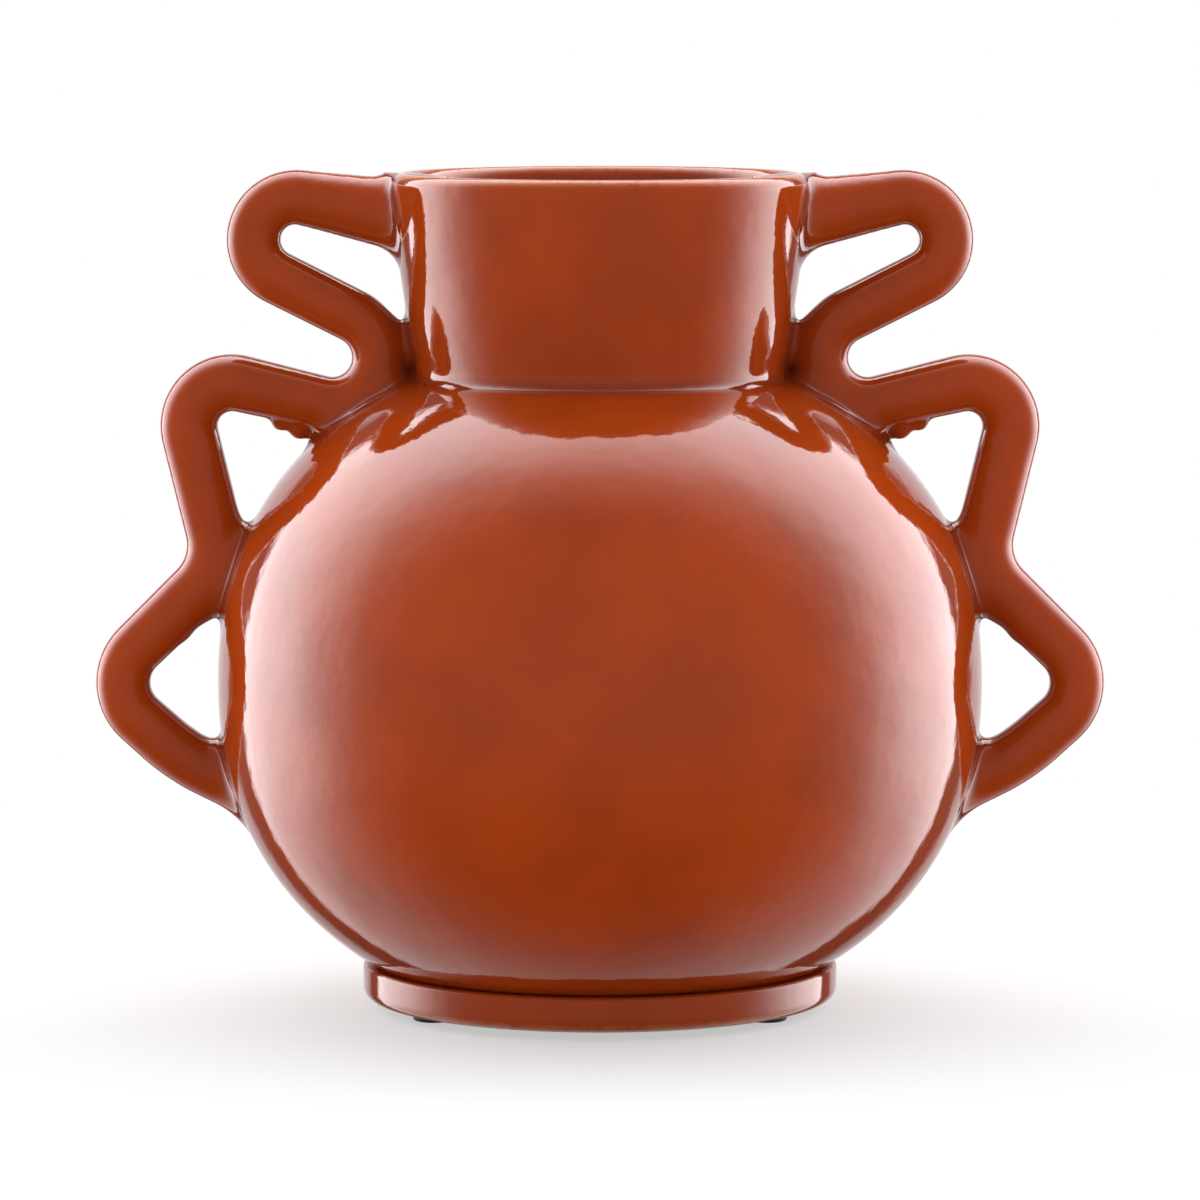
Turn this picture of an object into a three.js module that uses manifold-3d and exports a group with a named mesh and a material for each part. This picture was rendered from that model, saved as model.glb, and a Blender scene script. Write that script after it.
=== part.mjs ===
// Two-handled stoneware vase: a round belly on a low foot band, a flared neck collar, and a
// wavy rod handle luted to each side. Millimetres, +Z up. The origin is on the vase's axis,
// at the level of the surface that it stands on.

import * as THREE from "three";
import { mergeVertices } from "three/addons/utils/BufferGeometryUtils.js";
import Module from "manifold-3d";

const wasm = await Module();
wasm.setup();

// Belly: outlined by a superellipse about its widest level
const BELLY_RADIUS = 91.6;
const BELLY_HALF_HEIGHT = 80.6;
const BELLY_FULLNESS = 2.2;
const BELLY_RISE = 67.8; // from the foot's top face up to the widest level
const WALL = 5;
const FLOOR = 6;

// Neck collar and its lip
const NECK_BASE_RADIUS = 43.6;
const NECK_HEIGHT = 48.4;
const RIM_RADIUS = 49.8;
const NECK_BOW_HEIGHT = 19.5; // below the rim, where the flare turns upright
const NECK_BOW_INSET = 0.9;
const LIP_CROWN = 2.8; // height of the rounded top of the lip

// Foot band and the pads under it
const FOOT_HEIGHT = 8.5;
const FOOT_LEDGE = 2.7; // how far the band stands out past the belly
const FOOT_BAND_WIDTH = 19;
const FOOT_TOP_ROUND = 1;
const FOOT_BOTTOM_ROUND = 3;
const PAD_RADIUS = 5;
const PAD_HEIGHT = 2.3;
const PAD_ROUND = 0.7;
const PAD_INSET = 11.5; // from the band's outer wall in to the pad's centre

// Handles: a round rod in the plane y = 0 that swings out into three lobes, and touches the
// vase in two hollows between them. A stand is measured out from the vase's own surface.
const ROD_RADIUS = 6.85;
const ROOT_BELOW_RIM = 9.5;
const UPPER_LOBE = { belowRim: 15.9, stand: 23.7, turn: 10.1 };
const NECK_HOLLOW = { aboveJoint: 4.5, stand: 1.5, turn: 11.1 };
const MIDDLE_LOBE = { belowJoint: 11.9, stand: 23.8, turn: 10.3 };
const BELLY_HOLLOW = { aboveMiddle: 32.7, stand: -0.4, turn: 15.3 };
const LOWER_LOBE = { aboveMiddle: -0.5, stand: 10.9, turn: 11.9 };
const TAIL_BEND = { aboveMiddle: 24.8, stand: -17.5, turn: 51.8 };
const TAIL_END = { aboveMiddle: -30.6, depth: 11 };
const ROOT_DEPTH = 6; // how far the rod's upper end is aimed inside the neck's surface

// Luting: the clay pressed in where a rod meets the vase, and the slip joint that it leaves
const LUTING_GAP = 0.3;
const NECK_ROOT_WAD = { belowRim: 11, halfHeight: 9.5, out: 6.5 };
const NECK_HOLLOW_WAD = { halfHeight: 11.5, out: 4.5 };
const BELLY_HOLLOW_WAD = { halfHeight: 12.5, out: 4.5 };
const WAD_HALF_WIDTH = 7.4;

// Fineness of the facets
const ROUND_SEGMENTS = 48;
const OUTLINE_STEPS = 16;
const LIP_STEPS = 6;
const EDGE_STEPS = 3;
const PAD_SEGMENTS = 24;
const ROD_SIDES = 14;
const ROD_STEP = 4;
const WAD_SEGMENTS = 16;

// Levels that follow from the sizes above
const FOOT_TOP = PAD_HEIGHT + FOOT_HEIGHT;
const MIDDLE = FOOT_TOP + BELLY_RISE;
const JOINT = MIDDLE + superHeight(NECK_BASE_RADIUS, BELLY_RADIUS, BELLY_HALF_HEIGHT);
const RIM = JOINT + NECK_HEIGHT;
const FOOT_RADIUS = bellyRadius(FOOT_TOP) + FOOT_LEDGE;

// Half-width of a superellipse at a height from its centre, and the height at a half-width
function superRadius(height, radius, halfHeight) {
  const part = Math.min(1, Math.abs(height) / halfHeight);
  return radius * (1 - part ** BELLY_FULLNESS) ** (1 / BELLY_FULLNESS);
}

function superHeight(atRadius, radius, halfHeight) {
  return superRadius(atRadius, halfHeight, radius);
}

function bellyRadius(z) {
  return superRadius(z - MIDDLE, BELLY_RADIUS, BELLY_HALF_HEIGHT);
}

// Points along the belly's wall from one level to another, closer together near both poles
function wallPoints(zFrom, zTo, inset) {
  const radius = BELLY_RADIUS - inset;
  const halfHeight = BELLY_HALF_HEIGHT - inset;
  const polar = (z) => Math.asin(THREE.MathUtils.clamp((z - MIDDLE) / halfHeight, -1, 1));
  const points = [];
  for (let i = 0; i <= OUTLINE_STEPS; i++) {
    const height = halfHeight * Math.sin(THREE.MathUtils.lerp(polar(zFrom), polar(zTo), i / OUTLINE_STEPS));
    points.push(new THREE.Vector2(superRadius(height, radius, halfHeight), MIDDLE + height));
  }
  return points;
}

// The neck's outer outline from its joint with the belly up to the foot of the lip's crown
function neckCurve(inset) {
  return new THREE.QuadraticBezierCurve(
    new THREE.Vector2(NECK_BASE_RADIUS - inset, JOINT),
    new THREE.Vector2(RIM_RADIUS - NECK_BOW_INSET - inset, RIM - NECK_BOW_HEIGHT),
    new THREE.Vector2(RIM_RADIUS - inset, RIM - LIP_CROWN),
  );
}

// A quarter round from one heading to another, as points about a centre
function roundCorner(centreX, centreY, radius, fromAngle, toAngle, steps) {
  const points = [];
  for (let i = 0; i <= steps; i++) {
    const angle = THREE.MathUtils.lerp(fromAngle, toAngle, i / steps);
    points.push(new THREE.Vector2(centreX + radius * Math.cos(angle), centreY + radius * Math.sin(angle)));
  }
  return points;
}

// A geometry as a closed solid: shared corners are merged and flat slivers at an axis dropped
function toSolid(geometry) {
  const bare = geometry.clone();
  bare.deleteAttribute("normal");
  bare.deleteAttribute("uv");
  const merged = mergeVertices(bare, 1e-4);
  const index = merged.index.array;
  const corners = [];
  for (let i = 0; i < index.length; i += 3) {
    const [a, b, c] = [index[i], index[i + 1], index[i + 2]];
    if (a !== b && b !== c && c !== a) corners.push(a, b, c);
  }
  return new wasm.Manifold(new wasm.Mesh({
    numProp: 3,
    vertProperties: new Float32Array(merged.attributes.position.array),
    triVerts: new Uint32Array(corners),
  }));
}

function toMesh(name, solid, material) {
  const shape = solid.getMesh();
  const geometry = new THREE.BufferGeometry();
  geometry.setAttribute("position", new THREE.BufferAttribute(new Float32Array(shape.vertProperties), 3));
  geometry.setIndex(new THREE.BufferAttribute(new Uint32Array(shape.triVerts), 1));
  geometry.computeVertexNormals();
  const mesh = new THREE.Mesh(geometry, material);
  mesh.name = name;
  return mesh;
}

// A solid of revolution about +Z from points of (radius, height)
function revolve(points, segments = ROUND_SEGMENTS) {
  const geometry = new THREE.LatheGeometry(points, segments);
  geometry.rotateX(Math.PI / 2);
  return toSolid(geometry);
}

// Belly: a closed bowl with a flat floor that sits on the foot, open at the top for the neck
function makeBelly() {
  const mouth = NECK_BASE_RADIUS - WALL;
  const floorTop = FOOT_TOP + FLOOR;
  const innerTop = MIDDLE + superHeight(mouth, BELLY_RADIUS - WALL, BELLY_HALF_HEIGHT - WALL);
  return revolve([
    new THREE.Vector2(0, FOOT_TOP),
    ...wallPoints(FOOT_TOP, JOINT, 0),
    new THREE.Vector2(mouth, JOINT),
    ...wallPoints(innerTop, floorTop, WALL),
    new THREE.Vector2(0, floorTop),
  ]);
}

// Neck collar: a flared tube that stands on the belly's mouth and ends in a rounded lip
function makeNeck() {
  const halfWall = WALL / 2;
  const lip = [];
  for (let i = 1; i < LIP_STEPS; i++) {
    const angle = Math.PI * i / LIP_STEPS;
    lip.push(new THREE.Vector2(
      RIM_RADIUS - halfWall + halfWall * Math.cos(angle),
      RIM - LIP_CROWN + LIP_CROWN * Math.sin(angle),
    ));
  }
  const outer = neckCurve(0).getPoints(LIP_STEPS);
  const inner = neckCurve(WALL).getPoints(LIP_STEPS).reverse();
  return revolve([...outer, ...lip, ...inner, outer[0].clone()]);
}

// Foot band: a low ring under the belly, rounded at its ledge and more at its bottom edge
function makeFoot() {
  const inside = FOOT_RADIUS - FOOT_BAND_WIDTH;
  const bottomCentre = [FOOT_RADIUS - FOOT_BOTTOM_ROUND, PAD_HEIGHT + FOOT_BOTTOM_ROUND];
  const topCentre = [FOOT_RADIUS - FOOT_TOP_ROUND, FOOT_TOP - FOOT_TOP_ROUND];
  return revolve([
    new THREE.Vector2(inside, PAD_HEIGHT),
    ...roundCorner(...bottomCentre, FOOT_BOTTOM_ROUND, -Math.PI / 2, 0, EDGE_STEPS),
    ...roundCorner(...topCentre, FOOT_TOP_ROUND, 0, Math.PI / 2, EDGE_STEPS),
    new THREE.Vector2(inside, FOOT_TOP),
    new THREE.Vector2(inside, PAD_HEIGHT),
  ]);
}

// Foot pad: a small soft disc stuck flat under the foot band
function makePad(angle) {
  const reach = FOOT_RADIUS - PAD_INSET;
  const pad = new THREE.LatheGeometry([
    new THREE.Vector2(0, 0),
    ...roundCorner(PAD_RADIUS - PAD_ROUND, PAD_ROUND, PAD_ROUND, -Math.PI / 2, 0, EDGE_STEPS),
    new THREE.Vector2(PAD_RADIUS, PAD_HEIGHT),
    new THREE.Vector2(0, PAD_HEIGHT),
  ], PAD_SEGMENTS);
  pad.rotateX(Math.PI / 2);
  pad.translate(reach * Math.sin(angle), -reach * Math.cos(angle), 0);
  return toSolid(pad);
}

// Everything inside the vase's outer surface, grown by the luting gap, which trims a handle
function makeTrimmer() {
  const grow = (point) => new THREE.Vector2(point.x + LUTING_GAP, point.y);
  const belly = wallPoints(FOOT_TOP, JOINT, -LUTING_GAP);
  const neck = neckCurve(0).getPoints(LIP_STEPS).map(grow);
  return revolve([
    new THREE.Vector2(0, FOOT_TOP),
    ...belly,
    ...neck.slice(1),
    new THREE.Vector2(RIM_RADIUS + LUTING_GAP, RIM + LIP_CROWN),
    new THREE.Vector2(0, RIM + LIP_CROWN),
  ]);
}

function neckRadius(z) {
  const points = neckCurve(0).getPoints(ROUND_SEGMENTS);
  const above = points.findIndex((point) => point.y >= z);
  return points[Math.max(0, above)].x;
}

// The turns of a rod's centre line, outward lobes and inward hollows, from neck to belly
function rodTurns() {
  const upperZ = RIM - UPPER_LOBE.belowRim;
  const hollowZ = JOINT + NECK_HOLLOW.aboveJoint;
  const middleZ = JOINT - MIDDLE_LOBE.belowJoint;
  const bellyZ = MIDDLE + BELLY_HOLLOW.aboveMiddle;
  const lowerZ = MIDDLE + LOWER_LOBE.aboveMiddle;
  const tailZ = MIDDLE + TAIL_BEND.aboveMiddle;
  const hollowX = neckRadius(hollowZ) + NECK_HOLLOW.stand + ROD_RADIUS + NECK_HOLLOW.turn;
  const bellyX = bellyRadius(bellyZ) + BELLY_HOLLOW.stand + ROD_RADIUS + BELLY_HOLLOW.turn;
  return [
    { x: neckRadius(upperZ) + UPPER_LOBE.stand, z: upperZ, turn: UPPER_LOBE.turn, sense: -1 },
    { x: hollowX, z: hollowZ, turn: NECK_HOLLOW.turn, sense: 1 },
    { x: bellyRadius(middleZ) + MIDDLE_LOBE.stand, z: middleZ, turn: MIDDLE_LOBE.turn, sense: -1 },
    { x: bellyX, z: bellyZ, turn: BELLY_HOLLOW.turn, sense: 1 },
    { x: bellyRadius(lowerZ) + LOWER_LOBE.stand, z: lowerZ, turn: LOWER_LOBE.turn, sense: -1 },
    { x: bellyRadius(tailZ) + TAIL_BEND.stand, z: tailZ, turn: TAIL_BEND.turn, sense: -1 },
  ];
}

// The straight stretch that leaves one turn and runs into the next without a kink
function tangentBetween(a, b) {
  const between = new THREE.Vector2(b.x - a.x, b.z - a.z);
  const offset = b.sense * b.turn - a.sense * a.turn;
  const heading = between.angle() - Math.asin(offset / between.length());
  const side = new THREE.Vector2(-Math.sin(heading), Math.cos(heading));
  return {
    heading,
    from: new THREE.Vector2(a.x, a.z).addScaledVector(side, -a.sense * a.turn),
    to: new THREE.Vector2(b.x, b.z).addScaledVector(side, -b.sense * b.turn),
  };
}

// The rod's centre line in its own plane: straight runs joined by arcs
function rodPath() {
  const rootZ = RIM - ROOT_BELOW_RIM;
  const endZ = MIDDLE + TAIL_END.aboveMiddle;
  const stops = [
    { x: neckRadius(rootZ) - ROOT_DEPTH, z: rootZ, turn: 0, sense: 1 },
    ...rodTurns(),
    { x: bellyRadius(endZ) - TAIL_END.depth, z: endZ, turn: 0, sense: 1 },
  ];
  const path = new THREE.Path();
  let run = tangentBetween(stops[0], stops[1]);
  path.moveTo(run.from.x, run.from.y);
  for (let i = 1; i < stops.length - 1; i++) {
    const { x, z, turn, sense } = stops[i];
    path.lineTo(run.to.x, run.to.y);
    const next = tangentBetween(stops[i], stops[i + 1]);
    const quarter = -sense * Math.PI / 2;
    path.absarc(x, z, turn, run.heading + quarter, next.heading + quarter, sense < 0);
    run = next;
  }
  path.lineTo(run.to.x, run.to.y);
  return path;
}

// A drawing in the plane of x and z as a curve in space, run at an even pace
class UprightCurve extends THREE.Curve {
  constructor(drawing) {
    super();
    this.drawing = drawing;
  }

  getPoint(t, target = new THREE.Vector3()) {
    const point = this.drawing.getPointAt(t);
    return target.set(point.x, 0, point.y);
  }
}

// A wad of luting clay: an egg pressed against the vase's surface at one level
function makeWad(x, z, size) {
  const wad = new THREE.SphereGeometry(1, WAD_SEGMENTS, WAD_SEGMENTS / 2);
  wad.rotateX(Math.PI / 2);
  wad.scale(size.out, WAD_HALF_WIDTH, size.halfHeight);
  wad.translate(x, 0, z);
  return toSolid(wad);
}

// Handle on the +X side: the bent rod with its wads, trimmed to the vase's surface
function makeHandle() {
  const path = rodPath();
  path.arcLengthDivisions = 2000;
  const section = new THREE.Shape().absarc(0, 0, ROD_RADIUS, 0, 2 * Math.PI);
  const rod = new THREE.ExtrudeGeometry(section, {
    curveSegments: ROD_SIDES / 2,
    steps: Math.round(path.getLength() / ROD_STEP),
    extrudePath: new UprightCurve(path),
  });
  const rootZ = RIM - NECK_ROOT_WAD.belowRim;
  const bellyZ = MIDDLE + BELLY_HOLLOW.aboveMiddle - ROD_RADIUS;
  const hollowZ = JOINT + NECK_HOLLOW.aboveJoint;
  const wads = [
    makeWad(neckRadius(rootZ), rootZ, NECK_ROOT_WAD),
    makeWad(neckRadius(hollowZ), hollowZ, NECK_HOLLOW_WAD),
    makeWad(bellyRadius(bellyZ), bellyZ, BELLY_HOLLOW_WAD),
  ];
  const whole = wads.reduce((handle, wad) => handle.add(wad), toSolid(rod));
  return whole.subtract(makeTrimmer());
}

// The same piece on the other side of the vase
function mirrorMesh(name, source) {
  const geometry = source.geometry.clone();
  geometry.scale(-1, 1, 1);
  const corners = geometry.index.array;
  for (let i = 0; i < corners.length; i += 3) {
    [corners[i], corners[i + 1]] = [corners[i + 1], corners[i]];
  }
  geometry.computeVertexNormals();
  const mesh = new THREE.Mesh(geometry, rustGlaze());
  mesh.name = name;
  return mesh;
}

function rustGlaze() {
  return new THREE.MeshStandardMaterial({ color: 0xb2481c, roughness: 0.12, metalness: 0 });
}

function darkRubber() {
  return new THREE.MeshStandardMaterial({ color: 0x3a281e, roughness: 0.8, metalness: 0 });
}

function makeVase() {
  const vase = new THREE.Group();
  vase.add(toMesh("belly", makeBelly(), rustGlaze()));
  vase.add(toMesh("neck_collar", makeNeck(), rustGlaze()));
  vase.add(toMesh("foot_ring", makeFoot(), rustGlaze()));
  const handle = toMesh("handle_right", makeHandle(), rustGlaze());
  vase.add(handle);
  vase.add(mirrorMesh("handle_left", handle));
  const pads = { foot_pad_right: Math.PI / 3, foot_pad_left: -Math.PI / 3, foot_pad_back: Math.PI };
  for (const [name, angle] of Object.entries(pads)) {
    vase.add(toMesh(name, makePad(angle), darkRubber()));
  }
  return vase;
}

export default makeVase();
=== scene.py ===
"""Two-handled stoneware vase with a glossy rust glaze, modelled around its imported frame."""

import math

import bpy
import numpy as np
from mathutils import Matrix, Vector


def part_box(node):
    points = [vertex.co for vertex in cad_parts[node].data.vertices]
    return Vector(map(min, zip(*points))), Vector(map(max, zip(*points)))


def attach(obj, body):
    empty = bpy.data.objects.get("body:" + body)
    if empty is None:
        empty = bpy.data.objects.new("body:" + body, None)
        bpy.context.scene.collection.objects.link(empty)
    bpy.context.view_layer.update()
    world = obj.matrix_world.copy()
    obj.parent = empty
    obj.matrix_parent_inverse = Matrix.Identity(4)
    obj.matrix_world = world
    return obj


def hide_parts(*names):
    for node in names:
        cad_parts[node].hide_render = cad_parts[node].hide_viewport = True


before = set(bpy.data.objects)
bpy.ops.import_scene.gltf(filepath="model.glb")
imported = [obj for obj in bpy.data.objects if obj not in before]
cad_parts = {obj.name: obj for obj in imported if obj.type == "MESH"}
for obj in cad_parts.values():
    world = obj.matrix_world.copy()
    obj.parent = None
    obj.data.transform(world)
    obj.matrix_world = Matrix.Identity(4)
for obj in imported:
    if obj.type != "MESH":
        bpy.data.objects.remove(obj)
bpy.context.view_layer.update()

# Sizes in metres, the same as the frame's
MM = 0.001
BELLY_RADIUS = 91.45 * MM
BELLY_HALF_HEIGHT = 80.6 * MM
BELLY_FULLNESS = 2.2
BELLY_RISE = 67.8 * MM
WALL = 5 * MM
FLOOR_THICKNESS = 6 * MM
NECK_BASE_RADIUS = 43.6 * MM
RIM_RADIUS = 49.8 * MM
NECK_BOW_HEIGHT = 19.5 * MM
NECK_BOW_INSET = 0.9 * MM
LIP_CROWN = 2.8 * MM
FOOT_TOP_ROUND = 1.0 * MM
FOOT_BOTTOM_ROUND = 3.0 * MM
FOOT_BAND_WIDTH = 19 * MM
PAD_RADIUS = 5 * MM
PAD_ROUND = 0.7 * MM

# Levels read from the frame
PAD_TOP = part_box("foot_pad_right")[1].z
FOOT_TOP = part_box("foot_ring")[1].z
FOOT_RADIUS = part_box("foot_ring")[1].x
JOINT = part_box("neck_collar")[0].z
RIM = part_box("neck_collar")[1].z
MIDDLE = FOOT_TOP + BELLY_RISE

# Fineness of the meshes
ROUND_SEGMENTS = 288
OUTLINE_STEP = 1.2 * MM
ROUND_STEPS = 10
HANDLE_CELL = 0.7 * MM
DENSE_POINTS = 1200
NECK_POINTS = 400
PAD_SEGMENTS = 64

# The hand-made surface is drawn in by up to this much, never out past the true outline
WAVE_DEPTH = 0.16 * MM
WAVE_LENGTH = 34 * MM
BELLY_SEED = 5
NECK_SEED = 9
FOOT_SEED = 13
HANDLE_SEED = 21


def super_radius(height, radius, half_height):
    part = np.clip(np.abs(height) / half_height, 0, 1)
    return radius * (1 - part ** BELLY_FULLNESS) ** (1 / BELLY_FULLNESS)


def super_height(at_radius, radius, half_height):
    return super_radius(at_radius, half_height, radius)


def belly_radius(z):
    return super_radius(z - MIDDLE, BELLY_RADIUS, BELLY_HALF_HEIGHT)


def belly_top(radius):
    return MIDDLE + super_height(radius, BELLY_RADIUS, BELLY_HALF_HEIGHT)


def neck_bezier(t, inset=0.0):
    """Point (radius, height) of the neck's outer outline, from the joint up to the lip."""
    start = np.array([NECK_BASE_RADIUS - inset, JOINT])
    bow = np.array([RIM_RADIUS - NECK_BOW_INSET - inset, RIM - NECK_BOW_HEIGHT])
    end = np.array([RIM_RADIUS - inset, RIM - LIP_CROWN])
    t = np.asarray(t, float)[..., None]
    return (1 - t) ** 2 * start + 2 * t * (1 - t) * bow + t ** 2 * end


NECK_TABLE = neck_bezier(np.linspace(0, 1, 60))


def neck_radius(z):
    return np.interp(z, NECK_TABLE[:, 1], NECK_TABLE[:, 0])


def wave(points, seed):
    """Slow swelling of a thrown wall, from 0 to 1, as a sum of a few tilted sine waves."""
    rng = np.random.default_rng(seed)
    total = np.zeros(len(points))
    for octave in (1.0, 1.9, 3.3):
        for _ in range(3):
            direction = rng.normal(size=3)
            direction /= np.linalg.norm(direction)
            phase = rng.uniform(0, 2 * math.pi)
            total += np.sin(points @ direction * (2 * math.pi * octave / WAVE_LENGTH) + phase) / octave
    return 0.5 + 0.5 * np.clip(total / 4, -1, 1)


def arc(centre, radius, start, end, steps=ROUND_STEPS):
    angles = np.linspace(math.radians(start), math.radians(end), steps + 1)
    return np.stack([centre[0] + radius * np.cos(angles), centre[1] + radius * np.sin(angles)], 1)


def belly_wall(z_from, z_to, inset):
    """Outline of the belly's wall between two levels, evenly spaced along its length."""
    radius, half = BELLY_RADIUS - inset, BELLY_HALF_HEIGHT - inset
    polar = [math.asin(max(-1, min(1, (z - MIDDLE) / half))) for z in (z_from, z_to)]
    height = half * np.sin(np.linspace(polar[0], polar[1], DENSE_POINTS))
    dense = np.stack([super_radius(height, radius, half), MIDDLE + height], 1)
    return evenly(dense)


def evenly(points, step=OUTLINE_STEP):
    run = np.concatenate([[0], np.cumsum(np.hypot(*np.diff(points, axis=0).T))])
    at = np.linspace(0, run[-1], max(2, int(run[-1] / step) + 1))
    return np.stack([np.interp(at, run, points[:, 0]), np.interp(at, run, points[:, 1])], 1)


def make_object(name, vertices, faces, material):
    mesh = bpy.data.meshes.new(name)
    mesh.from_pydata(vertices.tolist(), [], faces)
    mesh.validate()
    mesh.update()
    mesh.polygons.foreach_set("use_smooth", [True] * len(mesh.polygons))
    piece = bpy.data.objects.new(name, mesh)
    bpy.context.scene.collection.objects.link(piece)
    mesh.materials.append(material)
    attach(piece, "root")
    return piece


def set_mask(piece, name, values):
    attribute = piece.data.attributes.new(name, "FLOAT", "POINT")
    attribute.data.foreach_set("value", np.asarray(values, np.float32))


def revolve(outline, segments=ROUND_SEGMENTS):
    """Vertices and faces of the solid that an outline of (radius, height) sweeps about +Z.
    The outline either starts and ends on the axis or closes on itself."""
    on_axis = outline[0][0] < 1e-7
    rows = outline[1:-1] if on_axis else outline[:-1]
    angles = np.linspace(0, 2 * math.pi, segments, endpoint=False)
    ring = np.stack([np.cos(angles), np.sin(angles)], 1)
    x = rows[:, 0, None] * ring[None, :, 0]
    y = rows[:, 0, None] * ring[None, :, 1]
    z = np.repeat(rows[:, 1, None], segments, 1)
    vertices = np.stack([x, y, z], 2).reshape(-1, 3)
    count = len(rows)
    faces = []
    last = count - 1 if on_axis else count
    for row in range(last):
        a = row * segments
        b = ((row + 1) % count) * segments
        for k in range(segments):
            n = (k + 1) % segments
            faces.append((a + k, a + n, b + n, b + k))
    if on_axis:
        vertices = np.vstack([vertices, [0, 0, outline[0][1]], [0, 0, outline[-1][1]]])
        bottom, top = count * segments, count * segments + 1
        a = (count - 1) * segments
        for k in range(segments):
            n = (k + 1) % segments
            faces.append((bottom, n, k))
            faces.append((top, a + k, a + n))
    return vertices, faces


def swell(vertices, seed, hold):
    """Draws a wall in by the slow wave. hold is 0 where the wall stays exactly on its outline."""
    radial = vertices.copy()
    radial[:, 2] = 0
    length = np.linalg.norm(radial, axis=1, keepdims=True)
    radial /= np.maximum(length, 1e-6)
    return vertices - radial * (wave(vertices, seed) * WAVE_DEPTH * hold)[:, None]


def smooth_step(low, high, values):
    t = np.clip((values - low) / (high - low), 0, 1)
    return t * t * (3 - 2 * t)


# Handles

ROD_RADIUS = 6.85 * MM
ROOT_BELOW_RIM = 10.8 * MM
ROOT_DEPTH = 6 * MM
BLEND = 5.5 * MM  # how wide the pressed clay spreads where a rod meets the vase
SKIN = 0.12 * MM  # how far under the vase's surface that clay runs out
SUNK = 2.2 * MM  # how deep the piece is carried on inside the wall
SECTION_POWER = 2.2  # above 2 flattens the rod's front and back a little

# Half-width of the rod at its root, its six turns and its tail
ROD_HALF_WIDTHS = np.array([9.0, 6.45, 6.4, 6.85, 6.85, 6.5, 6.6, 6.6]) * MM
WIDTH_SOFTENING = 20  # points each side over which one half-width turns into the next


def rod_stops():
    """Centre, radius and sense of each turn of the rod's centre line, in the plane of x and z."""
    root = RIM - ROOT_BELOW_RIM
    upper = RIM - 15.9 * MM
    hollow = JOINT + 4.5 * MM
    middle = JOINT - 11.9 * MM
    belly = MIDDLE + 32.7 * MM
    lower = MIDDLE - 0.5 * MM
    tail = MIDDLE + 24.8 * MM
    end = MIDDLE - 30.6 * MM
    return [
        (neck_radius(root) - ROOT_DEPTH, root, 0.0, 1),
        (neck_radius(upper) + 23.7 * MM, upper, 10.1 * MM, -1),
        (neck_radius(hollow) + 1.5 * MM + ROD_RADIUS + 11.1 * MM, hollow, 11.1 * MM, 1),
        (belly_radius(middle) + 23.8 * MM, middle, 10.3 * MM, -1),
        (belly_radius(belly) - 0.4 * MM + ROD_RADIUS + 15.3 * MM, belly, 15.3 * MM, 1),
        (belly_radius(lower) + 10.9 * MM, lower, 11.9 * MM, -1),
        (belly_radius(tail) - 17.5 * MM, tail, 51.8 * MM, -1),
        (belly_radius(end) - 11 * MM, end, 0.0, 1),
    ]


def tangent_run(a, b):
    """The straight run between two turns: its heading and its two ends."""
    across = np.array([b[0] - a[0], b[1] - a[1]])
    offset = b[3] * b[2] - a[3] * a[2]
    heading = math.atan2(across[1], across[0]) - math.asin(offset / np.hypot(*across))
    side = np.array([-math.sin(heading), math.cos(heading)])
    return heading, np.array(a[:2]) - side * a[3] * a[2], np.array(b[:2]) - side * b[3] * b[2]


def rod_line(step=0.5 * MM):
    """Points along the rod's centre line and the rod's half-width at each."""
    stops = rod_stops()
    runs = [tangent_run(a, b) for a, b in zip(stops, stops[1:])]
    points, keys = [], []
    for i, (heading, start, end) in enumerate(runs):
        if i:
            x, z, turn, sense = stops[i]
            sweep = (heading - runs[i - 1][0]) * sense % (2 * math.pi)
            first = runs[i - 1][0] - sense * math.pi / 2
            angles = first + sense * np.linspace(0, sweep, int(sweep * turn / step) + 2)
            points.append(np.stack([x + turn * np.cos(angles), z + turn * np.sin(angles)], 1))
            keys.append(np.full(len(angles), float(i)))
        share = np.linspace(0, 1, int(np.hypot(*(end - start)) / step) + 2)
        points.append(start + (end - start) * share[:, None])
        keys.append(i + share)
    widths = np.interp(np.concatenate(keys), np.arange(len(stops)), ROD_HALF_WIDTHS)
    soften = np.hanning(2 * WIDTH_SOFTENING + 1)
    widths = np.convolve(np.pad(widths, WIDTH_SOFTENING, mode="edge"), soften / soften.sum(), mode="valid")
    return np.vstack(points), widths


ROD_LINE, ROD_WIDTH = rod_line()

NEAR_ROD = 16 * MM  # beyond this the rod's distance need only be rough
BATCH = 20000  # points measured at a time, to spare memory
RUN_BLEND = 2.5 * MM
LIP_CAP = 1.2 * MM
NECK_SINK = 6 * MM
CREASE_BLEND = 1.5 * MM

# Small runs of glaze that hang under the arms: x, z and radius
GLAZE_RUNS = [
    (72.2 * MM, 139.0 * MM, 2.1 * MM),
    (76.4 * MM, 140.3 * MM, 1.6 * MM),
    (96.0 * MM, 95.2 * MM, 1.9 * MM),
    (100.5 * MM, 90.6 * MM, 1.6 * MM),
]


def smooth_min(a, b, width):
    mix = np.clip(0.5 + 0.5 * (b - a) / width, 0, 1)
    return b * (1 - mix) + a * mix - width * mix * (1 - mix)


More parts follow.
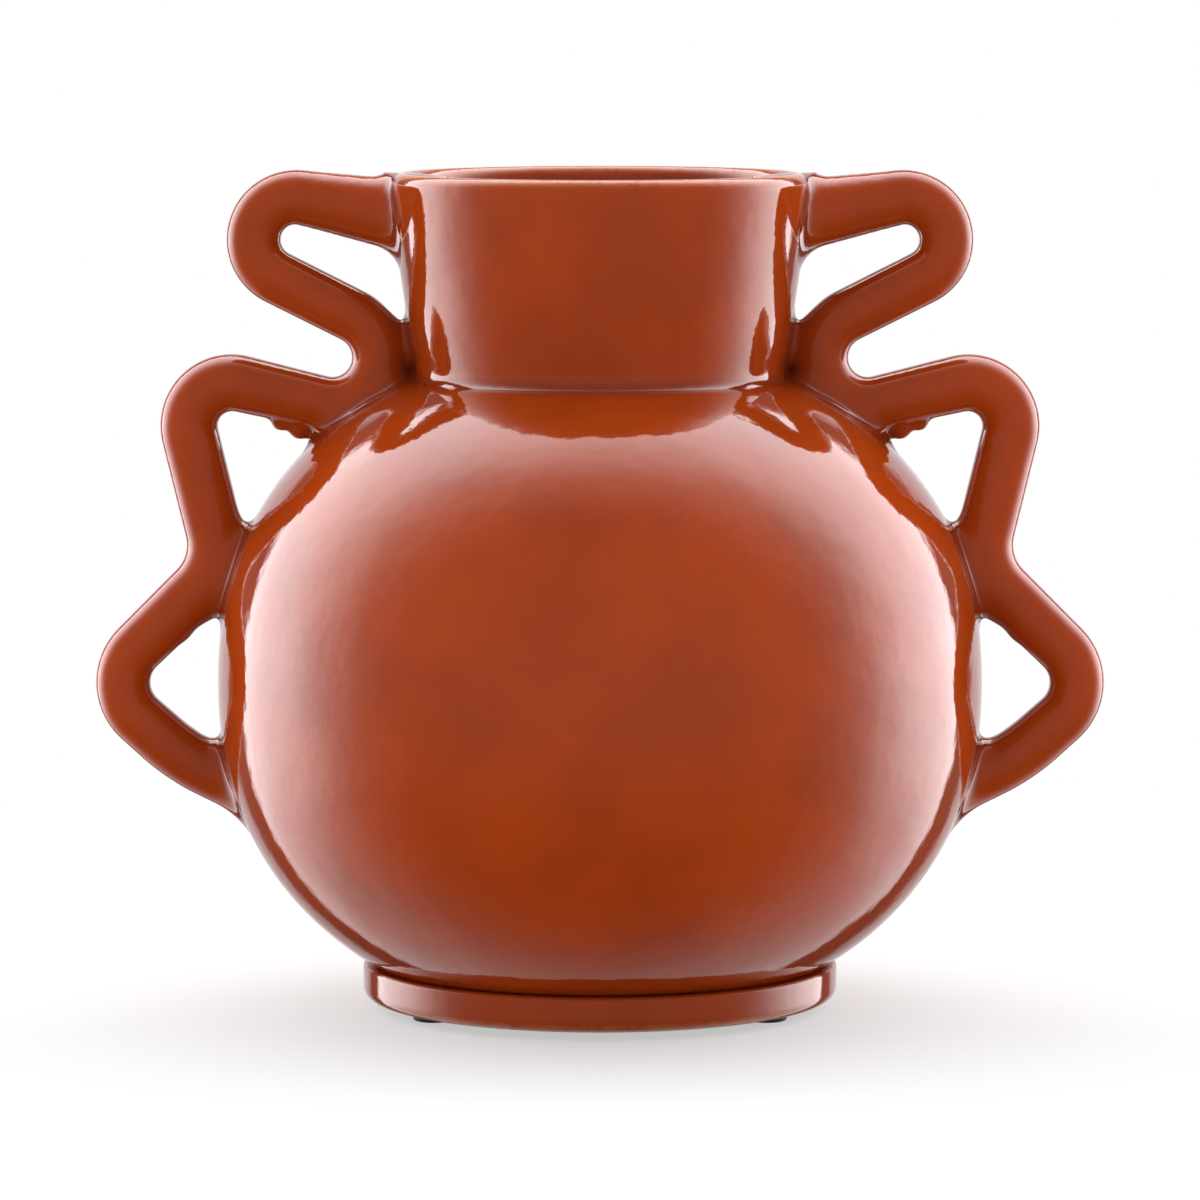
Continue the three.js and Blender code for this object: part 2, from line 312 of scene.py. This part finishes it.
def rod_distance(p):
    """Distance from points to the rod's surface, negative inside."""
    flat = p[:, [0, 2]]
    marks = ROD_LINE[::12]
    best = np.hypot(flat[:, None, 0] - marks[:, 0], flat[:, None, 1] - marks[:, 1]).min(1)
    width = np.full(len(p), ROD_RADIUS)
    near = np.flatnonzero(best < NEAR_ROD)
    line, line_width = ROD_LINE[::2], ROD_WIDTH[::2]
    start, along = line[:-1], np.diff(line, axis=0)
    size = np.maximum((along ** 2).sum(1), 1e-18)
    for begin in range(0, len(near), BATCH):
        batch = near[begin:begin + BATCH]
        to = flat[batch, None, :] - start
        t = np.clip((to * along).sum(2) / size, 0, 1)
        gap = np.hypot(to[..., 0] - t * along[:, 0], to[..., 1] - t * along[:, 1])
        pick = gap.argmin(1)
        best[batch] = gap[np.arange(len(batch)), pick]
        width[batch] = line_width[pick]
    power = SECTION_POWER
    section = (best ** power + np.abs(p[:, 1]) ** power) ** (1 / power)
    result = section - width
    for x, z, radius in GLAZE_RUNS:
        drop = np.sqrt((p[:, 0] - x) ** 2 + p[:, 1] ** 2 + (p[:, 2] - z) ** 2) - radius
        result = smooth_min(result, drop, RUN_BLEND)
    return result


def vase_distance(p):
    """Distance to the vase's outer surface, negative inside. The open mouth counts as inside up to
    LIP_CAP under the rim, so the upper roots of the handles show across the inside of the mouth."""
    r = np.hypot(p[:, 0], p[:, 1])
    z = p[:, 2]
    u = np.maximum(r / BELLY_RADIUS, 1e-6)
    v = np.maximum(np.abs(z - MIDDLE) / BELLY_HALF_HEIGHT, 1e-6)
    level = u ** BELLY_FULLNESS + v ** BELLY_FULLNESS
    value = level ** (1 / BELLY_FULLNESS) - 1
    scale = level ** (1 / BELLY_FULLNESS - 1)
    slope = np.hypot(scale * u ** (BELLY_FULLNESS - 1) / BELLY_RADIUS,
                     scale * v ** (BELLY_FULLNESS - 1) / BELLY_HALF_HEIGHT)
    belly = value / slope
    neck = np.maximum((r - neck_radius(z)) * 0.98, z - (RIM - LIP_CAP))
    neck = np.where(z < JOINT - NECK_SINK, np.maximum(neck, JOINT - NECK_SINK - z), neck)
    return smooth_min(belly, neck, CREASE_BLEND)


def handle_field(p):
    rod = rod_distance(p)
    vase = vase_distance(p)
    joined = smooth_min(rod, vase + SKIN, BLEND)
    joined = np.maximum(joined, rod - BLEND)
    return np.maximum(joined, -(vase + SUNK))


def surface_nets(field, low, high, cell):
    """A quad mesh of the surface where field is zero, one vertex in each cell that it crosses."""
    counts = np.ceil((high - low) / cell).astype(int) + 1
    axes = [low[i] + cell * np.arange(counts[i]) for i in range(3)]
    grid = np.stack(np.meshgrid(*axes, indexing="ij"), -1)
    values = field(grid.reshape(-1, 3)).reshape(counts)
    inside = values < 0
    total = np.zeros(tuple(counts - 1) + (3,))
    hits = np.zeros(tuple(counts - 1))
    corners = [(i, j, k) for i in (0, 1) for j in (0, 1) for k in (0, 1)]

    def window(array, corner):
        return array[tuple(slice(corner[i], counts[i] - 1 + corner[i]) for i in range(3))]

    for a in corners:
        for axis in range(3):
            if a[axis]:
                continue
            b = tuple(a[i] + (i == axis) for i in range(3))
            va, vb = window(values, a), window(values, b)
            cross = window(inside, a) != window(inside, b)
            share = np.where(cross, va / np.where(cross, va - vb, 1), 0)
            spot = np.zeros(total.shape)
            for i in range(3):
                spot[..., i] = a[i] + (share if i == axis else 0)
            total += np.where(cross[..., None], spot, 0)
            hits += cross
    used = hits > 0
    index = np.full(used.shape, -1)
    index[used] = np.arange(used.sum())
    where = np.argwhere(used)
    vertices = low + cell * (where + total[used] / hits[used][:, None])
    faces = []
    for axis in range(3):
        b, c = (axis + 1) % 3, (axis + 2) % 3
        shape = [slice(None)] * 3
        shape[axis] = slice(0, counts[axis] - 1)
        ahead = [slice(None)] * 3
        ahead[axis] = slice(1, counts[axis])
        first, second = inside[tuple(shape)], inside[tuple(ahead)]
        for flip in (False, True):
            edge = (first & ~second) if not flip else (~first & second)
            spots = np.argwhere(edge)
            spots = spots[(spots[:, b] > 0) & (spots[:, c] > 0)]
            spots = spots[(spots[:, b] < counts[b] - 1) & (spots[:, c] < counts[c] - 1)]
            ring = []
            for db, dc in ((1, 1), (0, 1), (0, 0), (1, 0)):
                cellspot = spots.copy()
                cellspot[:, b] -= db
                cellspot[:, c] -= dc
                ring.append(index[cellspot[:, 0], cellspot[:, 1], cellspot[:, 2]])
            quads = np.stack(ring, 1)
            quads = quads[:, ::-1] if flip else quads
            faces.append(quads)
    return vertices, np.vstack(faces)


def settle(vertices, field, rounds=2, reach=0.05 * MM):
    """Moves the vertices onto the surface itself along the field's slope."""
    for _ in range(rounds):
        slope = np.stack([
            field(vertices + reach * np.eye(3)[i]) - field(vertices - reach * np.eye(3)[i]) for i in range(3)
        ], 1) / (2 * reach)
        size = np.maximum((slope ** 2).sum(1), 0.25)
        move = -(field(vertices) / size)[:, None] * slope
        length = np.linalg.norm(move, axis=1, keepdims=True)
        vertices = vertices + move * np.minimum(1, 0.4 * HANDLE_CELL / np.maximum(length, 1e-12))
    return vertices


# The space that holds the right handle
HANDLE_LOW = np.array([36, -13.5, 34]) * MM
HANDLE_HIGH = np.array([124, 13.5, 204]) * MM


def make_handles(material):
    vertices, faces = surface_nets(handle_field, HANDLE_LOW, HANDLE_HIGH, HANDLE_CELL)
    vertices = settle(vertices, handle_field)
    rod = rod_distance(vertices)
    seam = 1 - smooth_step(0.0, 3.5 * MM, np.abs(vase_distance(vertices)))
    for side, sign in (("right", 1), ("left", -1)):
        placed = vertices * np.array([sign, 1, 1])
        depth = np.sign(placed[:, 1]) * wave(placed, HANDLE_SEED + sign) * 0.3 * WAVE_DEPTH
        swelled = placed - np.array([0, 1, 0]) * depth[:, None]
        order = faces if sign > 0 else faces[:, ::-1]
        piece = make_object(f"glazed_handle_{side}", swelled, order.tolist(), material)
        set_mask(piece, "glaze_break_and_highlight", np.zeros(len(placed)))
        set_mask(piece, "bare_clay", np.zeros(len(placed)))
        set_mask(piece, "seam", seam * smooth_step(-1 * MM, 1.5 * MM, rod))
        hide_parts(f"handle_{side}")


# Body pieces

def make_belly(material):
    mouth = NECK_BASE_RADIUS - WALL
    floor_top = FOOT_TOP + FLOOR_THICKNESS
    half = BELLY_HALF_HEIGHT - WALL
    inner_top = MIDDLE + super_height(mouth, BELLY_RADIUS - WALL, half)
    base_radius = belly_radius(FOOT_TOP)
    base = evenly(np.array([[0, FOOT_TOP], [base_radius, FOOT_TOP]]), 4 * MM)
    inside = belly_wall(inner_top, floor_top, WALL)
    floor = evenly(np.array([inside[-1], [0, floor_top]]), 4 * MM)
    outline = np.vstack([base[:-1], belly_wall(FOOT_TOP, JOINT, 0), [[mouth, JOINT]], inside[:-1], floor])
    vertices, faces = revolve(outline)
    z, r = vertices[:, 2], np.hypot(vertices[:, 0], vertices[:, 1])
    hold = smooth_step(FOOT_TOP, FOOT_TOP + 9 * MM, z) * (1 - smooth_step(JOINT - 9 * MM, JOINT, z))
    piece = make_object("glazed_belly", swell(vertices, BELLY_SEED, hold), faces, material)
    under = (z < FOOT_TOP + 0.01 * MM) & (r < base_radius - 1 * MM)
    set_mask(piece, "bare_clay", under)
    set_mask(piece, "glaze_break_and_highlight", np.zeros(len(z)))
    outside = r > belly_radius(z) - 1 * MM
    set_mask(piece, "seam", outside * smooth_step(JOINT - 2.2 * MM, JOINT, z))
    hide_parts("belly")


NECK_FILLET = 2.4 * MM


def make_neck(material):
    t = np.linspace(0, 1, NECK_POINTS)
    outer = evenly(neck_bezier(t))
    outer = outer[outer[:, 1] > JOINT + NECK_FILLET]
    corner = np.array([NECK_BASE_RADIUS, belly_top(NECK_BASE_RADIUS)])
    spread = NECK_BASE_RADIUS + NECK_FILLET
    landing = np.array([spread, belly_top(spread) - 0.1 * MM])
    u = np.linspace(0, 1, ROUND_STEPS)[:-1, None]
    fillet = (1 - u) ** 2 * landing + 2 * u * (1 - u) * corner + u ** 2 * outer[0]
    outer = np.vstack([fillet, outer])
    half = WALL / 2
    angles = np.linspace(0, math.pi, 2 * ROUND_STEPS)[1:-1]
    lip_radius = RIM_RADIUS - half + half * np.cos(angles)
    lip = np.stack([lip_radius, RIM - LIP_CROWN + LIP_CROWN * np.sin(angles)], 1)
    inner = evenly(neck_bezier(t[::-1], WALL))
    below = np.array([[spread - 0.6 * MM, belly_top(spread) - 1.2 * MM]])
    outline = np.vstack([below, outer, lip, inner, [[NECK_BASE_RADIUS - WALL, below[0, 1]]], below])
    vertices, faces = revolve(outline)
    z, r = vertices[:, 2], np.hypot(vertices[:, 0], vertices[:, 1])
    hold = smooth_step(JOINT, JOINT + 9 * MM, z) * (1 - smooth_step(RIM - 9 * MM, RIM - 3 * MM, z))
    piece = make_object("glazed_neck", swell(vertices, NECK_SEED, hold), faces, material)
    # The lip's crest is painted a lighter tan: a painted highlight along the rounded lip
    crest_highlight = 1 - smooth_step(0.4 * MM, 1.9 * MM, RIM - z)
    set_mask(piece, "glaze_break_and_highlight", crest_highlight)
    set_mask(piece, "bare_clay", np.zeros(len(z)))
    set_mask(piece, "seam", (r > NECK_BASE_RADIUS - 1 * MM) * (1 - smooth_step(JOINT, JOINT + 2.6 * MM, z)))
    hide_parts("neck_collar")


def make_foot(material):
    inside = FOOT_RADIUS - FOOT_BAND_WIDTH
    bottom = arc((FOOT_RADIUS - FOOT_BOTTOM_ROUND, PAD_TOP + FOOT_BOTTOM_ROUND), FOOT_BOTTOM_ROUND, -90, 0)
    top = arc((FOOT_RADIUS - FOOT_TOP_ROUND, FOOT_TOP - FOOT_TOP_ROUND), FOOT_TOP_ROUND, 0, 90)
    start = np.array([[inside, PAD_TOP]])
    base = evenly(np.vstack([start, bottom[:1]]), 2 * MM)
    ledge = evenly(np.vstack([top[-1:], [[inside, FOOT_TOP]]]), 2 * MM)
    wall = evenly(np.vstack([ledge[-1:], start]), 2 * MM)
    outline = np.vstack([base[:-1], bottom, top[:-1], ledge[:-1], wall])
    vertices, faces = revolve(outline)
    z, r = vertices[:, 2], np.hypot(vertices[:, 0], vertices[:, 1])
    hold = smooth_step(PAD_TOP, PAD_TOP + 3 * MM, z) * smooth_step(0, 2 * MM, FOOT_TOP - z + 1 * MM)
    piece = make_object("glazed_foot", swell(vertices, FOOT_SEED, hold), faces, material)
    bare = (1 - smooth_step(PAD_TOP + 0.1 * MM, PAD_TOP + 0.5 * MM, z)) + (r < inside + 0.1 * MM)
    set_mask(piece, "bare_clay", np.clip(bare, 0, 1))
    edge = np.hypot(r - (FOOT_RADIUS - 0.8 * MM), z - (PAD_TOP + 0.8 * MM))
    set_mask(piece, "glaze_break_and_highlight", 0.7 * (1 - smooth_step(0.6 * MM, 1.8 * MM, edge)))
    set_mask(piece, "seam", np.zeros(len(z)))
    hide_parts("foot_ring")


def make_pads(material):
    for side in ("right", "left", "back"):
        low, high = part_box(f"foot_pad_{side}")
        edge = arc((PAD_RADIUS - PAD_ROUND, PAD_ROUND), PAD_ROUND, -90, 0)
        outline = np.vstack([[[0, 0]], [[PAD_RADIUS * 0.6, 0]], edge, [[PAD_RADIUS, high.z]], [[0, high.z]]])
        vertices, faces = revolve(outline, PAD_SEGMENTS)
        vertices += np.array([(low.x + high.x) / 2, (low.y + high.y) / 2, 0])
        piece = make_object(f"rubber_pad_{side}", vertices, faces, material)
        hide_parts(f"foot_pad_{side}")


# Materials

GLAZE_RUST = (0.325, 0.040, 0.0030, 1)
GLAZE_BROWN = (0.27, 0.033, 0.0030, 1)
# Lighter tan: thin glaze at the foot's bottom edge, and a painted highlight along the lip's crest
GLAZE_THIN_AND_HIGHLIGHT = (0.45, 0.13, 0.045, 1)
GLAZE_POOLED = (0.15, 0.017, 0.007, 1)
CLAY_BUFF = (0.52, 0.40, 0.28, 1)
GLAZE_ROUGHNESS = 0.055
CLAY_ROUGHNESS = 0.85
GLAZE_IOR = 1.55
RUBBER_DARK = (0.030, 0.018, 0.012, 1)
RUBBER_WORN = (0.060, 0.038, 0.026, 1)
RUBBER_ROUGHNESS = 0.75


class Tree:
    """A material's node tree with short calls to add and link nodes."""

    def __init__(self, name):
        self.material = bpy.data.materials.new(name)
        self.material.use_nodes = True
        self.nodes = self.material.node_tree.nodes
        self.links = self.material.node_tree.links
        self.shader = self.nodes["Principled BSDF"]
        self.coordinates = self.nodes.new("ShaderNodeTexCoord").outputs["Object"]

    def link(self, source, target):
        self.links.new(source, target)

    def noise(self, scale, detail=3.0, roughness=0.5):
        node = self.nodes.new("ShaderNodeTexNoise")
        node.inputs["Scale"].default_value = scale
        node.inputs["Detail"].default_value = detail
        node.inputs["Roughness"].default_value = roughness
        self.link(self.coordinates, node.inputs["Vector"])
        return node.outputs["Fac"]

    def ramp(self, source, low, high, low_value=0.0, high_value=1.0):
        node = self.nodes.new("ShaderNodeMapRange")
        node.interpolation_type = "SMOOTHSTEP"
        ends = {"From Min": low, "From Max": high, "To Min": low_value, "To Max": high_value}
        for name, value in ends.items():
            node.inputs[name].default_value = value
        self.link(source, node.inputs["Value"])
        return node.outputs["Result"]

    def attribute(self, name):
        node = self.nodes.new("ShaderNodeAttribute")
        node.attribute_name = name
        return node.outputs["Fac"]

    def multiply(self, a, b):
        node = self.nodes.new("ShaderNodeMath")
        node.operation = "MULTIPLY"
        self.link(a, node.inputs[0])
        if isinstance(b, float):
            node.inputs[1].default_value = b
        else:
            self.link(b, node.inputs[1])
        return node.outputs[0]

    def mix(self, share, first, second):
        node = self.nodes.new("ShaderNodeMix")
        node.data_type = "RGBA"
        self.link(share, node.inputs["Factor"])
        for socket, value in ((node.inputs["A"], first), (node.inputs["B"], second)):
            if isinstance(value, tuple):
                socket.default_value = value
            else:
                self.link(value, socket)
        return node.outputs["Result"]

    def bump(self, height, distance, strength=1.0, under=None):
        node = self.nodes.new("ShaderNodeBump")
        node.inputs["Distance"].default_value = distance
        node.inputs["Strength"].default_value = strength
        self.link(height, node.inputs["Height"])
        if under is not None:
            self.link(under, node.inputs["Normal"])
        return node.outputs["Normal"]


def glaze_material():
    tree = Tree("rust_glaze")
    colour = tree.mix(tree.ramp(tree.noise(38, 4), 0.35, 0.7), GLAZE_RUST, GLAZE_BROWN)
    speckle = tree.multiply(tree.ramp(tree.noise(950, 2, 0.6), 0.5, 0.72), 0.35)
    colour = tree.mix(speckle, colour, GLAZE_BROWN)
    pooled = tree.multiply(tree.attribute("seam"), 0.65)
    colour = tree.mix(pooled, colour, GLAZE_POOLED)
    # Lighter tan from the mask: thin glaze at the foot's edge, and a painted highlight along the lip's crest
    ragged = tree.ramp(tree.noise(420, 3), 0.3, 0.62, 0.35, 1.0)
    thin_and_highlight = tree.multiply(tree.attribute("glaze_break_and_highlight"), ragged)
    colour = tree.mix(thin_and_highlight, colour, GLAZE_THIN_AND_HIGHLIGHT)
    colour = tree.mix(tree.attribute("bare_clay"), colour, CLAY_BUFF)
    tree.link(colour, tree.shader.inputs["Base Color"])
    rough = tree.ramp(tree.attribute("bare_clay"), 0.0, 1.0, GLAZE_ROUGHNESS, CLAY_ROUGHNESS)
    tree.link(rough, tree.shader.inputs["Roughness"])
    tree.shader.inputs["IOR"].default_value = GLAZE_IOR
    slow = tree.bump(tree.noise(75, 2), 0.0009, 0.2)
    peel = tree.bump(tree.noise(330, 2), 0.00012, 0.3, slow)
    tree.link(peel, tree.shader.inputs["Normal"])
    return tree.material


def rubber_material():
    tree = Tree("pad_rubber")
    colour = tree.mix(tree.ramp(tree.noise(600), 0.4, 0.65), RUBBER_DARK, RUBBER_WORN)
    tree.link(colour, tree.shader.inputs["Base Color"])
    tree.shader.inputs["Roughness"].default_value = RUBBER_ROUGHNESS
    tree.link(tree.bump(tree.noise(1500), 0.00005), tree.shader.inputs["Normal"])
    return tree.material


# Studio

# Brightness of the studio in each direction, by how far it points away from the camera: a dim
# front, two broad soft lights towards the back, a dark slit, then the white backdrop
STUDIO_GLOW = 5.6
STUDIO_STOPS = [(-1.0, 0.05), (-0.6, 0.052), (-0.46, 0.06), (-0.36, 0.083), (-0.24, 0.14), (-0.1, 0.27),
                (0.02, 0.47), (0.14, 0.71), (0.25, 0.9), (0.4, 1.0), (0.70, 1.0), (0.735, 0.03),
                (0.835, 0.03), (0.87, 0.18), (1.0, 0.18)]
STUDIO_TINT = (1.0, 0.965, 0.985)
# Share of that brightness by direction, from straight down to straight up
STUDIO_FALL = [(-1.0, 0.07), (-0.65, 0.2), (-0.45, 0.4), (-0.25, 0.75), (0.0, 1.0), (1.0, 0.8)]
STUDIO_LEVEL = 1.45
STUDIO_SHARE = 0.4  # how much the soft lights count for in the light that falls on the object
FLOOR_REACH = 1.6
FLOOR_SHARE = 0.5  # how much of its white the floor shows whatever falls on it
FLOOR_NEAR = 0.15
FLOOR_FAR = 0.40
FLOOR_COLOUR = (0.72, 0.72, 0.72, 1)
FLOOR_ROUGHNESS = 0.8


def make_quad(name, corners, material):
    mesh = bpy.data.meshes.new(name)
    mesh.from_pydata(corners, [], [(0, 1, 2, 3)])
    mesh.materials.append(material)
    quad = bpy.data.objects.new(name, mesh)
    bpy.context.scene.collection.objects.link(quad)
    return quad


def make_floor():
    """A pale floor that a camera sees fade into plain white away from the object."""
    tree = Tree("pale_floor")
    tree.shader.inputs["Base Color"].default_value = FLOOR_COLOUR
    tree.shader.inputs["Roughness"].default_value = FLOOR_ROUGHNESS
    distance = tree.nodes.new("ShaderNodeVectorMath")
    distance.operation = "LENGTH"
    tree.link(tree.coordinates, distance.inputs[0])
    share = tree.ramp(distance.outputs["Value"], FLOOR_NEAR, FLOOR_FAR, FLOOR_SHARE, 1.0)
    seen = tree.nodes.new("ShaderNodeLightPath").outputs["Is Camera Ray"]
    glow = tree.nodes.new("ShaderNodeEmission")
    mix = tree.nodes.new("ShaderNodeMixShader")
    tree.link(tree.multiply(share, seen), mix.inputs[0])
    tree.link(tree.shader.outputs[0], mix.inputs[1])
    tree.link(glow.outputs[0], mix.inputs[2])
    tree.link(mix.outputs[0], tree.nodes["Material Output"].inputs["Surface"])
    r = FLOOR_REACH
    floor = make_quad("floor", [(-r, -r, 0), (r, -r, 0), (r, r, 0), (-r, r, 0)], tree.material)
    floor.visible_glossy = False


def make_world():
    """White to the camera, the studio's soft lights in reflections, and for all other rays those
    lights mixed with an even level."""
    world = bpy.data.worlds.new("studio")
    bpy.context.scene.world = world
    world.use_nodes = True
    nodes, links = world.node_tree.nodes, world.node_tree.links
    even = nodes["Background"]
    even.inputs["Color"].default_value = (STUDIO_LEVEL, STUDIO_LEVEL, STUDIO_LEVEL, 1)
    direction = nodes.new("ShaderNodeTexCoord")
    split = nodes.new("ShaderNodeSeparateXYZ")
    links.new(direction.outputs["Generated"], split.inputs[0])
    lights = nodes.new("ShaderNodeBackground")
    lights.inputs["Strength"].default_value = STUDIO_GLOW
    mix = nodes.new("ShaderNodeMix")
    mix.data_type = "RGBA"
    mix.blend_type = "MULTIPLY"
    mix.inputs["Factor"].default_value = 1
    plan = (("Y", STUDIO_STOPS, STUDIO_TINT, "A"), ("Z", STUDIO_FALL, (1, 1, 1), "B"))
    for axis, stops, tint, target in plan:
        place = nodes.new("ShaderNodeMapRange")
        place.inputs["From Min"].default_value = -1
        ramp = nodes.new("ShaderNodeValToRGB")
        while len(ramp.color_ramp.elements) < len(stops):
            ramp.color_ramp.elements.new(0.5)
        for element, (away, share) in zip(ramp.color_ramp.elements, stops):
            element.position = (away + 1) / 2
            element.color = [share * part for part in tint] + [1]
        links.new(split.outputs[axis], place.inputs["Value"])
        links.new(place.outputs["Result"], ramp.inputs["Fac"])
        links.new(ramp.outputs["Color"], mix.inputs[target])
    links.new(mix.outputs["Result"], lights.inputs["Color"])
    fallen = nodes.new("ShaderNodeMixShader")
    fallen.inputs[0].default_value = STUDIO_SHARE
    links.new(even.outputs[0], fallen.inputs[1])
    links.new(lights.outputs[0], fallen.inputs[2])
    white = nodes.new("ShaderNodeBackground")
    white.inputs["Color"].default_value = (1, 1, 1, 1)
    path = nodes.new("ShaderNodeLightPath")
    reflected = nodes.new("ShaderNodeMixShader")
    links.new(path.outputs["Is Glossy Ray"], reflected.inputs[0])
    links.new(fallen.outputs[0], reflected.inputs[1])
    links.new(lights.outputs[0], reflected.inputs[2])
    shown = nodes.new("ShaderNodeMixShader")
    links.new(path.outputs["Is Camera Ray"], shown.inputs[0])
    links.new(reflected.outputs[0], shown.inputs[1])
    links.new(white.outputs[0], shown.inputs[2])
    links.new(shown.outputs[0], nodes["World Output"].inputs["Surface"])


CAMERA_DISTANCE = 1.5559
CAMERA_PITCH = math.asin(0.1017)
CAMERA_TARGET_Z = 0.0979
CAMERA_LENS = 195.0
CAMERA_SENSOR = 36.0


def make_camera():
    data = bpy.data.cameras.new("camera")
    data.lens = CAMERA_LENS
    data.sensor_width = CAMERA_SENSOR
    camera = bpy.data.objects.new("camera", data)
    bpy.context.scene.collection.objects.link(camera)
    back = CAMERA_DISTANCE * math.cos(CAMERA_PITCH)
    camera.location = (0, -back, CAMERA_TARGET_Z + CAMERA_DISTANCE * math.sin(CAMERA_PITCH))
    camera.rotation_euler = (math.pi / 2 - CAMERA_PITCH, 0, 0)
    bpy.context.scene.camera = camera


bpy.context.scene.view_settings.view_transform = "Standard"
make_camera()
glaze = glaze_material()
make_belly(glaze)
make_neck(glaze)
make_foot(glaze)
make_handles(glaze)
make_pads(rubber_material())
make_floor()
make_world()
